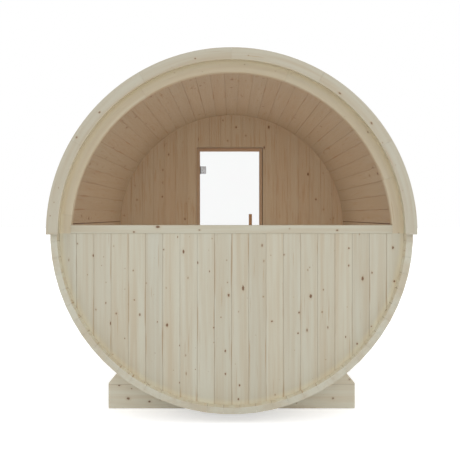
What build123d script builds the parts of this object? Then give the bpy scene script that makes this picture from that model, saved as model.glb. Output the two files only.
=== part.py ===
from build123d import *

import os
from math import cos, radians, sin, sqrt

# A barrel sauna: a round cabin of staves that lies on two cradles.
# X is across, Y runs along the barrel from the window end to the door end, Z is up from the ground.
# Lengths are in millimetres and angles in degrees.

# Staves of the barrel
barrel_radius = 1100.0
barrel_length = 2400.0
ground_clearance = 55.0
stave_thickness = 40.0
stave_count = 68
stave_gap = 0.5
tongue_length = 7.0
tongue_thickness = 10.0
croze_depth = 12.0

# Clearance of pieces that seat on each other, and the overrun of cuts
seat = 0.3
overrun = 20.0

# End walls
wall_thickness = 42.0
wall_recess = 60.0

# Steel hoops with their tension lugs
hoop_width = 40.0
hoop_thickness = 2.0
hoop_inset = 140.0
lug_stave = -7
lug_gap = 30.0
lug_thickness = 5.0
lug_height = 30.0

# Roof boards and the arched fascias at their ends
roof_board_thickness = 12.0
roof_board_gap = 1.0
roof_board_edge = 2.0
roof_drop = 10.0
fascia_lip = 3.5
fascia_width = 71.0
fascia_thickness = 32.0
fascia_segments = 6

# Half-moon window in the rear wall
arch_width = 82.5
sill_bottom = -5.0
sill_top = 46.0
sill_proud = 6.0
sill_edge = 3.0
arch_joint_angle = 19.0
arch_segment_angle = 51.6
arch_joint_count = 4
pane_thickness = 8.0
pane_bite = 12.0

# Door opening and its frame
door_offset = -20.0
door_clear_width = 564.0
door_top_cover = 355.5
threshold_rise = 20.0
frame_face = 28.0
frame_proud = 10.0
rebate_width = 13.0
door_glass_thickness = 8.0
door_glass_edge = 1.0
door_clearance = 6.0

# Door hinges
hinge_inset = 176.0
hinge_width = 52.0
hinge_height = 73.0
hinge_plate_thickness = 5.0
hinge_stand_off = 12.0
pin_radius = 4.0
pin_clearance = 0.08
knuckle_radius = 7.0
knuckle_height = 40.0
knuckle_gap = 0.5
bracket_thickness = 4.0

# Door handles
handle_inset = 90.0
handle_rise = 814.0
handle_length = 350.0
handle_radius = 14.0
handle_edge = 3.0
handle_stand_off = 31.0
spacer_radius = 9.0
spacer_sides = 6
spacer_inset = 70.0

# Floor
floor_rise = 169.0
floor_slat_thickness = 28.0
floor_slat_count = 9
floor_slat_gap = 12.0
floor_slat_edge = 3.0
floor_side_clearance = 5.0
floor_end_clearance = 3.0
bearer_width = 45.0
bearer_count = 3
bearer_inset = 150.0

# Cradles
cradle_half_width = 804.0
cradle_side_height = 165.0
cradle_slope_run = 165.0
cradle_slope_rise = 200.0
cradle_thickness = 64.0
cradle_inset = 313.0

# Worked out from the sizes above
stave_pitch = 360.0 / stave_count
half_pitch = stave_pitch / 2
stave_outer_face = barrel_radius * cos(radians(half_pitch))
stave_inner_face = stave_outer_face - stave_thickness
joint_middle = (stave_inner_face + stave_thickness / 2) / cos(radians(half_pitch))
croze_face = stave_inner_face + croze_depth
wall_face = croze_face - seat
wall_corner = wall_face / cos(radians(half_pitch))
wall_outer = barrel_length / 2 - wall_recess
wall_inner = wall_outer - wall_thickness
wall_middle = wall_outer - wall_thickness / 2
axis_height = ground_clearance + barrel_radius
hoop_inner_face = stave_outer_face + seat
hoop_outer_face = hoop_inner_face + hoop_thickness
roof_inner_face = hoop_outer_face + seat
roof_outer_face = roof_inner_face + roof_board_thickness
fascia_outer_radius = roof_outer_face + fascia_lip
fascia_inner_radius = fascia_outer_radius - fascia_width
window_radius = wall_face - arch_width
floor_level = floor_rise - stave_inner_face

# The section plane looks along the barrel from the window end, with its origin on the axis
section = Plane(origin=(0, 0, axis_height), x_dir=(1, 0, 0), z_dir=(0, -1, 0))
rear_end = section.offset(barrel_length / 2)
front_end = section.offset(-barrel_length / 2)

os.makedirs("parts", exist_ok=True)


def save(piece, name):
    piece.part.label = name
    export_step(piece.part, f"parts/{name}.step")


def half_width(distance, gap):
    """Half the width of a stave or board whose sides point at the axis, at a distance from the axis."""
    return (distance * sin(radians(half_pitch)) - gap / 2) / cos(radians(half_pitch))


# One stave with its tongue, its groove and the two crozes that hold the end walls
with BuildPart() as stave:
    with BuildSketch() as stave_section:
        inner_half = half_width(stave_inner_face, stave_gap)
        outer_half = half_width(stave_outer_face, stave_gap)
        with BuildLine():
            Polyline(
                (stave_inner_face, -inner_half),
                (stave_outer_face, -outer_half),
                (stave_outer_face, outer_half),
                (stave_inner_face, inner_half),
                close=True,
            )
        make_face()
        with PolarLocations(joint_middle, 1, half_pitch):
            Rectangle(tongue_thickness, 2 * tongue_length)
        with PolarLocations(joint_middle, 1, -half_pitch):
            Rectangle(
                tongue_thickness + 2 * stave_gap,
                2 * tongue_length + 2 * stave_gap,
                mode=Mode.SUBTRACT,
            )
    extrude(amount=barrel_length / 2, both=True)
    with Locations((croze_face, 0, wall_middle), (croze_face, 0, -wall_middle)):
        Box(
            croze_depth + overrun,
            2 * outer_half + overrun,
            wall_thickness + 2 * seat,
            align=(Align.MAX, Align.CENTER, Align.CENTER),
            mode=Mode.SUBTRACT,
        )

# The staves go round the barrel in four groups of equal number
staves_in_group = stave_count // 4
group_span = staves_in_group * stave_pitch


def stave_group(name, middle_angle):
    first_angle = middle_angle - group_span / 2 + half_pitch
    with BuildPart(section) as group:
        with PolarLocations(0, staves_in_group, first_angle, group_span):
            add(stave.part)
    save(group, name)


stave_group("staves_right", 0)
stave_group("staves_top", 90)
stave_group("staves_left", 180)
stave_group("staves_bottom", 270)

# A hoop follows the flats of the staves and is split between two lugs
lug_angle = lug_stave * stave_pitch
lug_middle = hoop_inner_face + lug_height / 2
lug_place = lug_gap / 2 + lug_thickness / 2


def make_hoop(name, place):
    hoop_plane = section.offset(-place)
    with BuildPart(hoop_plane) as hoop:
        with BuildSketch(hoop_plane):
            RegularPolygon(hoop_outer_face, stave_count, major_radius=False, rotation=half_pitch)
            RegularPolygon(
                hoop_inner_face,
                stave_count,
                major_radius=False,
                rotation=half_pitch,
                mode=Mode.SUBTRACT,
            )
            with PolarLocations(lug_middle, 1, lug_angle):
                with Locations((0, lug_place), (0, -lug_place)):
                    Rectangle(lug_height, lug_thickness)
                Rectangle(lug_height + overrun, lug_gap, mode=Mode.SUBTRACT)
        extrude(amount=hoop_width / 2, both=True)
    save(hoop, name)


hoop_place = barrel_length / 2 - hoop_inset
make_hoop("hoop_rear", -hoop_place)
make_hoop("hoop_middle", 0)
make_hoop("hoop_front", hoop_place)

# One roof board lies on the hoops over each stave of the upper half
with BuildPart() as roof_board:
    with BuildSketch() as roof_section:
        roof_inner_half = half_width(roof_inner_face, roof_board_gap)
        roof_outer_half = half_width(roof_outer_face, roof_board_gap)
        with BuildLine():
            Polyline(
                (roof_inner_face, -roof_inner_half),
                (roof_outer_face, -roof_outer_half),
                (roof_outer_face, roof_outer_half),
                (roof_inner_face, roof_inner_half),
                close=True,
            )
        make_face()
        chamfer(roof_section.vertices().group_by(Axis.X)[-1], length=roof_board_edge)
    extrude(amount=barrel_length / 2, both=True)

roof_board_count = stave_count // 2 + 1
side_board_count = roof_board_count // 3


def roof_boards(name, first_board, board_count):
    with BuildPart(section) as boards:
        with PolarLocations(0, board_count, first_board * stave_pitch, board_count * stave_pitch):
            add(roof_board.part)
        with Locations((0, -roof_drop, 0)):
            Box(
                2 * fascia_outer_radius + overrun,
                fascia_outer_radius + roof_drop + overrun,
                barrel_length + overrun,
                align=(Align.CENTER, Align.MIN, Align.CENTER),
                mode=Mode.INTERSECT,
            )
    save(boards, name)


crown_board_count = roof_board_count - 2 * side_board_count
roof_boards("roof_right", 0, side_board_count)
roof_boards("roof_crown", side_board_count, crown_board_count)
roof_boards("roof_left", side_board_count + crown_board_count, side_board_count)


# The arched fascia covers the ends of the upper staves and of the roof boards
def make_fascia(name, end_plane, depth):
    segment_angle = 180 / fascia_segments
    fascia_middle = (fascia_outer_radius + fascia_inner_radius) / 2
    with BuildPart() as fascia:
        with BuildSketch(end_plane):
            Circle(fascia_outer_radius)
            Circle(fascia_inner_radius, mode=Mode.SUBTRACT)
            with Locations((0, -roof_drop)):
                Rectangle(
                    2 * fascia_outer_radius + overrun,
                    fascia_outer_radius + roof_drop + overrun,
                    align=(Align.CENTER, Align.MIN),
                    mode=Mode.INTERSECT,
                )
            with PolarLocations(
                fascia_middle, fascia_segments - 1, segment_angle, 180 - segment_angle
            ):
                Rectangle(fascia_width + overrun, stave_gap, mode=Mode.SUBTRACT)
        extrude(amount=depth)
    save(fascia, name)


make_fascia("rear_fascia", rear_end, fascia_thickness)
make_fascia("front_fascia", front_end, -fascia_thickness)

# The lower half of the rear wall
rear_wall_plane = section.offset(wall_outer)
with BuildPart() as rear_half_wall:
    with BuildSketch(rear_wall_plane):
        RegularPolygon(wall_face, stave_count, major_radius=False, rotation=half_pitch)
        with Locations((0, sill_bottom)):
            Rectangle(
                2 * wall_corner + overrun,
                wall_corner + overrun,
                align=(Align.CENTER, Align.MAX),
                mode=Mode.INTERSECT,
            )
    extrude(amount=-wall_thickness)
save(rear_half_wall, "rear_half_wall")

# The arched window frame stands on the half wall, with a groove for the pane
pane_groove = pane_thickness + 2 * seat
arch_middle = (window_radius + wall_corner) / 2
with BuildPart(rear_wall_plane) as rear_arch:
    with BuildSketch(rear_wall_plane):
        RegularPolygon(wall_face, stave_count, major_radius=False, rotation=half_pitch)
        Circle(window_radius, mode=Mode.SUBTRACT)
        with Locations((0, sill_bottom)):
            Rectangle(
                2 * wall_corner + overrun,
                wall_corner + overrun,
                align=(Align.CENTER, Align.MIN),
                mode=Mode.INTERSECT,
            )
        with PolarLocations(
            arch_middle, arch_joint_count, arch_joint_angle, arch_joint_count * arch_segment_angle
        ):
            Rectangle(wall_corner - window_radius + overrun, stave_gap, mode=Mode.SUBTRACT)
    extrude(amount=-wall_thickness)
    with Locations((0, 0, -wall_thickness / 2)):
        Cylinder(window_radius + pane_bite, pane_groove, mode=Mode.SUBTRACT)
save(rear_arch, "rear_arch")

# The sill rail lies between the feet of the arch, with a groove for the pane
sill_plane = Plane(origin=(0, -wall_middle, axis_height), x_dir=(0, 1, 0), z_dir=(1, 0, 0))
with BuildPart() as rear_sill:
    with BuildSketch(sill_plane) as sill_section:
        with Locations((0, sill_bottom)):
            Rectangle(
                wall_thickness + 2 * sill_proud,
                sill_top - sill_bottom,
                align=(Align.CENTER, Align.MIN),
            )
        chamfer(sill_section.vertices(), length=sill_edge)
        with Locations((0, sill_top)):
            Rectangle(pane_groove, 2 * pane_bite, mode=Mode.SUBTRACT)
    extrude(amount=window_radius, both=True)
    with Locations((0, -wall_middle, axis_height)):
        Cylinder(
            window_radius - seat,
            wall_thickness + 2 * sill_proud + overrun,
            rotation=(90, 0, 0),
            mode=Mode.INTERSECT,
        )
save(rear_sill, "rear_sill")

# The half-moon pane
with BuildPart() as rear_window_glass:
    with BuildSketch(rear_wall_plane.offset(-wall_thickness / 2)):
        Circle(window_radius + pane_bite - seat)
        with Locations((0, sill_top - pane_bite + seat)):
            Rectangle(
                2 * wall_corner,
                wall_corner,
                align=(Align.CENTER, Align.MIN),
                mode=Mode.INTERSECT,
            )
    extrude(amount=pane_thickness / 2, both=True)
save(rear_window_glass, "rear_window_glass")

# The front wall is cut for the door: a piece on each side, one over the door and one under it
door_clear_top = wall_face - door_top_cover
door_clear_bottom = floor_level + threshold_rise
opening_left = door_offset - door_clear_width / 2 - frame_face
opening_right = door_offset + door_clear_width / 2 + frame_face
opening_top = door_clear_top + frame_face
opening_bottom = door_clear_bottom - frame_face


def front_wall_piece(name, left, right, bottom, top):
    with BuildPart() as wall:
        with BuildSketch(section.offset(-wall_inner)):
            RegularPolygon(wall_face, stave_count, major_radius=False, rotation=half_pitch)
            with Locations(((left + right) / 2, (bottom + top) / 2)):
                Rectangle(right - left, top - bottom, mode=Mode.INTERSECT)
        extrude(amount=-wall_thickness)
    save(wall, name)


front_wall_piece("front_wall_left", -wall_corner, opening_left, -wall_corner, wall_corner)
front_wall_piece("front_wall_right", opening_right, wall_corner, -wall_corner, wall_corner)
front_wall_piece("front_wall_over_door", opening_left, opening_right, opening_top, wall_corner)
front_wall_piece("front_wall_under_door", opening_left, opening_right, -wall_corner, opening_bottom)

# The door frame has a rebate on its outer side that the glass leaf closes into
frame_depth = wall_thickness + 2 * frame_proud
frame_inner = wall_inner - frame_proud
frame_outer = wall_outer + frame_proud
rebate_depth = door_glass_thickness + door_clearance
clear_left = door_offset - door_clear_width / 2
clear_right = door_offset + door_clear_width / 2
clear_height = door_clear_top - door_clear_bottom
clear_middle = (door_clear_top + door_clear_bottom) / 2
frame_plane = section.offset(-frame_outer)


def frame_piece(name, left, right, bottom, top):
    with BuildPart(frame_plane) as member:
        with BuildSketch(frame_plane):
            with Locations(((left + right) / 2, (bottom + top) / 2)):
                Rectangle(right - left, top - bottom)
        extrude(amount=frame_depth)
        with Locations((door_offset, clear_middle, 0)):
            Box(
                door_clear_width + 2 * rebate_width,
                clear_height + 2 * rebate_width,
                2 * rebate_depth,
                mode=Mode.SUBTRACT,
            )
    save(member, name)


frame_piece(
    "door_jamb_left", opening_left + seat, clear_left, opening_bottom + seat, opening_top - seat
)
frame_piece(
    "door_jamb_right", clear_right, opening_right - seat, opening_bottom + seat, opening_top - seat
)
frame_piece("door_head", clear_left, clear_right, door_clear_top, opening_top - seat)
frame_piece("door_threshold", clear_left, clear_right, opening_bottom + seat, door_clear_bottom)

# The door leaf is one sheet of glass
leaf_width = door_clear_width + 2 * rebate_width - 2 * door_clearance
leaf_height = clear_height + 2 * rebate_width - 2 * door_clearance
leaf_left = door_offset - leaf_width / 2
with BuildPart() as door_glass:
    with BuildSketch(frame_plane):
        with Locations((door_offset, clear_middle)):
            Rectangle(leaf_width, leaf_height)
    extrude(amount=door_glass_thickness)
    chamfer(door_glass.edges(), length=door_glass_edge)
save(door_glass, "door_glass")

# The hinge axis stands in front of the gap between the left jamb and the leaf
hinge_x = leaf_left - door_clearance / 2
hinge_y = frame_outer + hinge_stand_off
hinge_levels = [door_clear_top - hinge_inset, door_clear_bottom + hinge_inset]
jamb_face_left = opening_left + seat
jamb_face_right = clear_left - rebate_width
lug_reach = jamb_face_right - jamb_face_left
lug_length = (hinge_height - knuckle_height) / 2 - knuckle_gap
outer_plate_left = leaf_left + knuckle_radius / 2

# The fixed side of each hinge: a plate on the jamb, two lugs and the pin between them
hinge_planes = [Plane.XY.offset(axis_height + level) for level in hinge_levels]
with BuildPart() as hinge_brackets:
    with BuildSketch(*hinge_planes):
        with Locations(((jamb_face_left + jamb_face_right) / 2, frame_outer + bracket_thickness / 2)):
            Rectangle(lug_reach, bracket_thickness)
        with Locations((hinge_x, hinge_y)):
            Circle(pin_radius)
    extrude(amount=hinge_height / 2, both=True)
    with BuildSketch(
        *[
            Plane.XY.offset(axis_height + level + side * (hinge_height - lug_length) / 2)
            for level in hinge_levels
            for side in (1, -1)
        ]
    ):
        with Locations((hinge_x, hinge_y)):
            Circle(knuckle_radius)
            Rectangle(
                lug_reach,
                hinge_stand_off,
                align=(Align.MAX, Align.MAX),
            )
    extrude(amount=lug_length / 2, both=True)
save(hinge_brackets, "hinge_brackets")

# The moving side: a plate on each face of the glass, the outer one with the knuckle on the pin
with BuildPart() as hinge_plates:
    with BuildSketch(*hinge_planes):
        with Locations((hinge_x, hinge_y)):
            Circle(knuckle_radius)
            Rectangle(
                outer_plate_left + hinge_plate_thickness - hinge_x,
                hinge_stand_off,
                align=(Align.MIN, Align.MAX),
            )
            Circle(pin_radius + pin_clearance, mode=Mode.SUBTRACT)
    extrude(amount=knuckle_height / 2, both=True)
    with BuildSketch(*hinge_planes):
        with Locations((outer_plate_left, frame_outer)):
            Rectangle(hinge_width, hinge_plate_thickness, align=(Align.MIN, Align.MIN))
        with Locations((clear_left + door_clearance, frame_outer - door_glass_thickness)):
            Rectangle(hinge_width, hinge_plate_thickness, align=(Align.MIN, Align.MAX))
    extrude(amount=hinge_height / 2, both=True)
save(hinge_plates, "door_hinge_plates")

# A round wooden handle bar on each side of the glass, held off it by two six-sided spacers
handle_distance = handle_stand_off + handle_radius
handle_place = leaf_left + leaf_width - handle_inset
handle_middle = axis_height + door_clear_bottom + handle_rise
handle_outer_y = frame_outer + handle_distance
handle_inner_y = frame_outer - door_glass_thickness - handle_distance


def handle_bar(name, bar_y):
    with BuildPart(Plane(origin=(handle_place, bar_y, handle_middle))) as bar:
        Cylinder(handle_radius, handle_length)
        chamfer(bar.edges().filter_by(GeomType.CIRCLE), length=handle_edge)
    save(bar, name)


handle_bar("door_handle_outer", handle_outer_y)
handle_bar("door_handle_inner", handle_inner_y)

spacer_pitch = handle_length - 2 * spacer_inset
spacer_plane = Plane(
    origin=(handle_place, frame_outer, handle_middle), x_dir=(1, 0, 0), z_dir=(0, 1, 0)
)
spacer_length = handle_stand_off - seat
with BuildPart() as handle_spacers:
    with BuildSketch(spacer_plane, spacer_plane.offset(-door_glass_thickness - spacer_length)):
        with GridLocations(spacer_pitch, spacer_pitch, 1, 2):
            RegularPolygon(spacer_radius, spacer_sides)
    extrude(amount=spacer_length)
save(handle_spacers, "door_handle_spacers")

# The floor: slats along the barrel on bearers that lie on the lowest staves
slat_bottom = floor_level - floor_slat_thickness
floor_half_width = sqrt(stave_inner_face**2 - slat_bottom**2) - floor_side_clearance
slat_pitch = (2 * floor_half_width + floor_slat_gap) / floor_slat_count
slat_length = 2 * frame_inner - 2 * floor_end_clearance
with BuildPart() as floor_slats:
    with BuildSketch(section) as slat_sections:
        with Locations((0, floor_level - floor_slat_thickness / 2)):
            with GridLocations(slat_pitch, 0, floor_slat_count, 1):
                Rectangle(slat_pitch - floor_slat_gap, floor_slat_thickness)
        chamfer(slat_sections.vertices().group_by(Axis.Y)[-1], length=floor_slat_edge)
    extrude(amount=slat_length / 2, both=True)
save(floor_slats, "floor_slats")

bearer_pitch = (2 * wall_inner - 2 * bearer_inset) / (bearer_count - 1)
bearer_planes = [
    section.offset(wall_inner - bearer_inset - row * bearer_pitch) for row in range(bearer_count)
]
with BuildPart() as floor_bearers:
    with BuildSketch(*bearer_planes):
        RegularPolygon(stave_inner_face - seat, stave_count, major_radius=False, rotation=half_pitch)
        with Locations((0, slat_bottom)):
            Rectangle(
                2 * floor_half_width,
                barrel_radius,
                align=(Align.CENTER, Align.MAX),
                mode=Mode.INTERSECT,
            )
    extrude(amount=bearer_width / 2, both=True)
save(floor_bearers, "floor_bearers")


# Each cradle is a plank on edge, hollowed to the barrel and sloped at its ends
def make_cradle(name, near_face):
    slope_top = cradle_side_height + cradle_slope_rise
    slope_in = cradle_half_width - cradle_slope_run
    with BuildPart() as cradle:
        with BuildSketch(Plane.XZ.offset(near_face)):
            with BuildLine():
                Polyline(
                    (-cradle_half_width, 0),
                    (cradle_half_width, 0),
                    (cradle_half_width, cradle_side_height),
                    (slope_in, slope_top),
                    (-slope_in, slope_top),
                    (-cradle_half_width, cradle_side_height),
                    close=True,
                )
            make_face()
            with Locations((0, axis_height)):
                RegularPolygon(
                    stave_outer_face + seat,
                    stave_count,
                    major_radius=False,
                    rotation=half_pitch,
                    mode=Mode.SUBTRACT,
                )
        extrude(amount=-cradle_thickness)
    save(cradle, name)


make_cradle("rear_cradle", barrel_length / 2 - cradle_inset)
make_cradle("front_cradle", cradle_inset + cradle_thickness - barrel_length / 2)
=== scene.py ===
# %% [markdown]
# A barrel sauna: a round cabin of spruce staves that lies on two cradles. One end has a half-moon
# window over a half wall of boards, the other a glass door. The solids come packed in one frame.
# This file dresses them: boards, fittings, finishes, a plain floor, light and a camera.
# Lengths are in metres, X is across the barrel, Y runs from the window end to the door end, Z is up.

# %% Load the solids
import math

import bmesh
import bpy
from mathutils import Matrix, Vector


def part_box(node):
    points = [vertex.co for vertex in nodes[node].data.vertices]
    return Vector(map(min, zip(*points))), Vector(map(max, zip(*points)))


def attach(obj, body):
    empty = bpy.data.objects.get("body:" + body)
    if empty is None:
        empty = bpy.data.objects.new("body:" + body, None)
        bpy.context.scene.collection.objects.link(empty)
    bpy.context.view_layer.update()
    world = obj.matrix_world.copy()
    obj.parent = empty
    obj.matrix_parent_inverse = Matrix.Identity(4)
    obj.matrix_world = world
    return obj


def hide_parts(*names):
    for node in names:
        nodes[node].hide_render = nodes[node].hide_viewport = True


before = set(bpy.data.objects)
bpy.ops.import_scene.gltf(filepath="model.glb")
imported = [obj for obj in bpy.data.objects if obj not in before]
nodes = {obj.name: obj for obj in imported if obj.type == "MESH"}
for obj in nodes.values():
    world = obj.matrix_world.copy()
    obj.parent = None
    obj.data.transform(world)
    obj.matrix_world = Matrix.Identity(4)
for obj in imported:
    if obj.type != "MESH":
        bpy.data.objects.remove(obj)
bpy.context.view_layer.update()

scene = bpy.context.scene
pieces = dict(nodes)

# %% [markdown]
# Every place in this scene is read from the solids, so that the looks still fit if a size changes.
# The staves on the right give the axis of the barrel, and the two end walls give the planes
# that part the cabin from the open air.

# %% Measure the barrel
stave_low, stave_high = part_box("staves_right")
axis_height = (stave_low.z + stave_high.z) / 2
stave_outer = stave_high.x
half_length = stave_high.y
stave_thickness = 0.040
stave_inner = stave_outer - stave_thickness
stave_count = 68
stave_angle = math.tau / stave_count
print(f"barrel: axis {axis_height:.3f} up, radius {stave_outer:.3f}, half length {half_length:.3f}")

# %% Measure the end walls and the door opening
rear_low, rear_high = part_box("rear_half_wall")
front_low, front_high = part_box("front_wall_left")
wall_radius = rear_high.x
door_left = front_high.x
door_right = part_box("front_wall_right")[0].x
door_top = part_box("front_wall_over_door")[0].z
door_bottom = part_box("front_wall_under_door")[1].z
wall_middle = (front_low.y + front_high.y) / 2
print(f"door opening: {door_right - door_left:.3f} wide, {door_top - door_bottom:.3f} high")

# %% [markdown]
# The end walls are upright boards, ten on each side of the middle, with a joint on the centre line.
# A flat wall with painted lines would lose the little grooves that catch the light at every joint.
# So each board is built as a mesh with its long edges taken off, and its ends follow the round wall.

# %% A board of an end wall
boards_each_side = 10
board_pitch = stave_inner / boards_each_side
joint_chamfer = 0.0014
board_steps = 6


def skin(mesh, rings):
    """Joins each ring of corners to the next one."""
    for one, two in zip(rings, rings[1:]):
        for side in range(len(one)):
            after = (side + 1) % len(one)
            mesh.faces.new((one[side], two[side], two[after], one[after]))


def upright_board(mesh, left, right, foot, head, wall, cuts=()):
    """Adds one board between two places on X; foot and head give its ends, cuts are sawn edges."""
    near, far = wall
    start = left if left in cuts else left + joint_chamfer
    stop = right if right in cuts else right - joint_chamfer
    spread = [start + (stop - start) * step / board_steps for step in range(board_steps + 1)]
    rows = [(x, near, far) for x in spread]
    if left not in cuts:
        rows.insert(0, (left, near + joint_chamfer, far - joint_chamfer))
    if right not in cuts:
        rows.append((right, near + joint_chamfer, far - joint_chamfer))
    rings = []
    for x, front, back in rows:
        ring = [(front, foot(x)), (back, foot(x)), (back, head(x)), (front, head(x))]
        rings.append([mesh.verts.new((x, y, z)) for y, z in ring])
    skin(mesh, rings)
    mesh.faces.new(rings[0])
    mesh.faces.new(rings[-1])


def lower_arc(x):
    return axis_height - math.sqrt(wall_radius**2 - x**2)


def upper_arc(x):
    return axis_height + math.sqrt(wall_radius**2 - x**2)


print(f"wall boards are {board_pitch * 1000:.1f} mm wide")

# %% Turn a mesh into a piece


def mesh_object(name, mesh):
    """Makes an object of a mesh and puts it in the scene."""
    data = bpy.data.meshes.new(name)
    mesh.to_mesh(data)
    mesh.free()
    pieces[name] = bpy.data.objects.new(name, data)
    scene.collection.objects.link(pieces[name])
    return pieces[name]


def make_piece(name, mesh, body, replaced=()):
    """Makes a piece of a mesh, sets it on a body and names the solids that it stands for."""
    bmesh.ops.recalc_face_normals(mesh, faces=mesh.faces)
    piece = mesh_object(name, mesh)
    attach(piece, body)
    if replaced:
        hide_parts(*replaced)
    print(name, "has", len(piece.data.polygons), "faces and rides on", body)


# %% The half wall under the window
rear_mesh = bmesh.new()
rear_wall = (rear_low.y, rear_high.y)
for number in range(-boards_each_side, boards_each_side):
    left = number * board_pitch
    upright_board(rear_mesh, left, left + board_pitch, lower_arc, lambda x: rear_high.z, rear_wall)
make_piece("rear_wall_boards", rear_mesh, "sauna", ["rear_half_wall"])

# %% The wall with the door
frame_joint = 0.006
hinge_joint = 0.0015
saw_left = door_left - hinge_joint
saw_right = door_right + frame_joint
saw_bottom = door_bottom - frame_joint
saw_top = door_top + frame_joint
front_mesh = bmesh.new()
front_wall = (front_low.y, front_high.y)
for number in range(-boards_each_side, boards_each_side):
    left = number * board_pitch
    right = left + board_pitch
    cuts = [x for x in (saw_left, saw_right) if left < x < right]
    edges = [left, *cuts, right]
    for start, stop in zip(edges, edges[1:]):
        if saw_left < (start + stop) / 2 < saw_right:
            upright_board(front_mesh, start, stop, lower_arc, lambda x: saw_bottom, front_wall, cuts)
            upright_board(front_mesh, start, stop, lambda x: saw_top, upper_arc, front_wall, cuts)
        else:
            upright_board(front_mesh, start, stop, lower_arc, upper_arc, front_wall, cuts)
plain_wall = ["front_wall_left", "front_wall_right", "front_wall_over_door", "front_wall_under_door"]
make_piece("front_wall_boards", front_mesh, "sauna", plain_wall)

# %% [markdown]
# Real timber has no razor edges: a plane takes them off. The solids of the door frame, the cradles and
# the floor bearers are sharp, and a bevel modifier eases them without touching the solids.
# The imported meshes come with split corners, so a weld goes before the bevel.

# %% Ease the edges of the timber
frame_ease = 0.0015
bearer_ease = 0.002
cradle_ease = 0.004
ease_segments = 2
ease_angle = math.radians(40)
same_point = 0.00005
door_frame = ["door_jamb_left", "door_jamb_right", "door_head", "door_threshold"]
eased_edges = dict.fromkeys(door_frame, frame_ease)
eased_edges.update(rear_cradle=cradle_ease, front_cradle=cradle_ease, floor_bearers=bearer_ease)
for name, width in eased_edges.items():
    weld = nodes[name].modifiers.new("weld", "WELD")
    weld.merge_threshold = same_point
    ease = nodes[name].modifiers.new("ease", "BEVEL")
    ease.width = width
    ease.segments = ease_segments
    ease.limit_method = "ANGLE"
    ease.angle_limit = ease_angle
print("edges eased on", len(eased_edges), "nodes")

# %% [markdown]
# Screws, nails and bolts are small, but close up they tell how the sauna is held together.
# They could be plain discs. A turned head with a rounded rim and a recess for the driver costs few
# faces and reads right near the camera, so one function makes them all, in any place and direction.

# %% A turned head
head_sides = 14
head_rise = 0.3
head_profile = [(1.0, 0.0), (1.0, 0.4), (0.85, 1.0), (0.42, 1.1), (0.34, 0.3)]


def turned(mesh, place, direction, profile, sides=head_sides):
    """Turns a profile of (radius, height) pairs round a direction and adds it to a mesh."""
    turn = direction.to_track_quat("Z", "Y").to_matrix().to_4x4()
    stand = Matrix.Translation(place) @ turn
    rings = []
    for radius, height in profile:
        ring = []
        for side in range(sides):
            angle = math.tau * side / sides
            spot = Vector((radius * math.cos(angle), radius * math.sin(angle), height))
            ring.append(mesh.verts.new(stand @ spot))
        rings.append(ring)
    for lower, upper in zip(rings, rings[1:]):
        for side in range(sides):
            after = (side + 1) % sides
            mesh.faces.new((lower[side], lower[after], upper[after], upper[side]))
    mesh.faces.new(rings[0][::-1])
    mesh.faces.new(rings[-1])


def screw_head(mesh, place, direction, radius):
    """A low domed head with a round recess for the driver."""
    rise = radius * head_rise
    turned(mesh, place, direction, [(radius * wide, rise * high) for wide, high in head_profile])


print("heads are turned from a profile of", len(head_profile), "rings")

# %% [markdown]
# Each steel hoop is drawn tight by one bolt between its two lugs. The lugs are the only part of a hoop
# that stands off the staves, so they are found in the mesh of the hoop itself, by their distance
# from the axis, and the bolt is laid through them.

# %% Tension bolts of the hoops
bolt_radius = 0.005
bolt_overhang = 1.6
nut_radius = 0.009
nut_height = 0.007
crown_radius = nut_radius * 0.82
crown_height = nut_height * 1.1
washer_radius = nut_radius * 1.25
washer_thickness = 0.0015
washer_sides = 20
lug_stand_off = 0.006


def lug_points(hoop):
    """The corners of a hoop's lugs, which stand farther from the axis than its band."""
    spots = [v.co.copy() for v in hoop.data.vertices]
    band = stave_outer + lug_stand_off
    return [p for p in spots if math.hypot(p.x, p.z - axis_height) > band]


bolt_mesh = bmesh.new()
hoops = ("hoop_rear", "hoop_middle", "hoop_front")
for name in hoops:
    corners = lug_points(nodes[name])
    middle = sum(corners, Vector()) / len(corners)
    outward = Vector((middle.x, 0, middle.z - axis_height)).normalized()
    along = Vector((-outward.z, 0, outward.x))
    middle = middle - outward * 0.5 * lug_stand_off
    reach = max(abs((corner - middle).dot(along)) for corner in corners)
    shank = [(bolt_radius, -reach - nut_height), (bolt_radius, reach + nut_height * bolt_overhang)]
    turned(bolt_mesh, middle, along, shank)
    washer = [(washer_radius, 0.0), (washer_radius, washer_thickness)]
    nut = [(nut_radius, washer_thickness), (nut_radius, nut_height), (crown_radius, crown_height)]
    for side in (along, -along):
        face = middle + side * reach
        turned(bolt_mesh, face, side, washer, washer_sides)
        turned(bolt_mesh, face, side, nut, 6)
make_piece("hoop_tension_bolts", bolt_mesh, "sauna")

# %% [markdown]
# The roof boards lie on the hoops and are nailed to the staves close beside them, two nails to a board.
# The heads could be painted on, but from above they are the only break in the plain boards.

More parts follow.
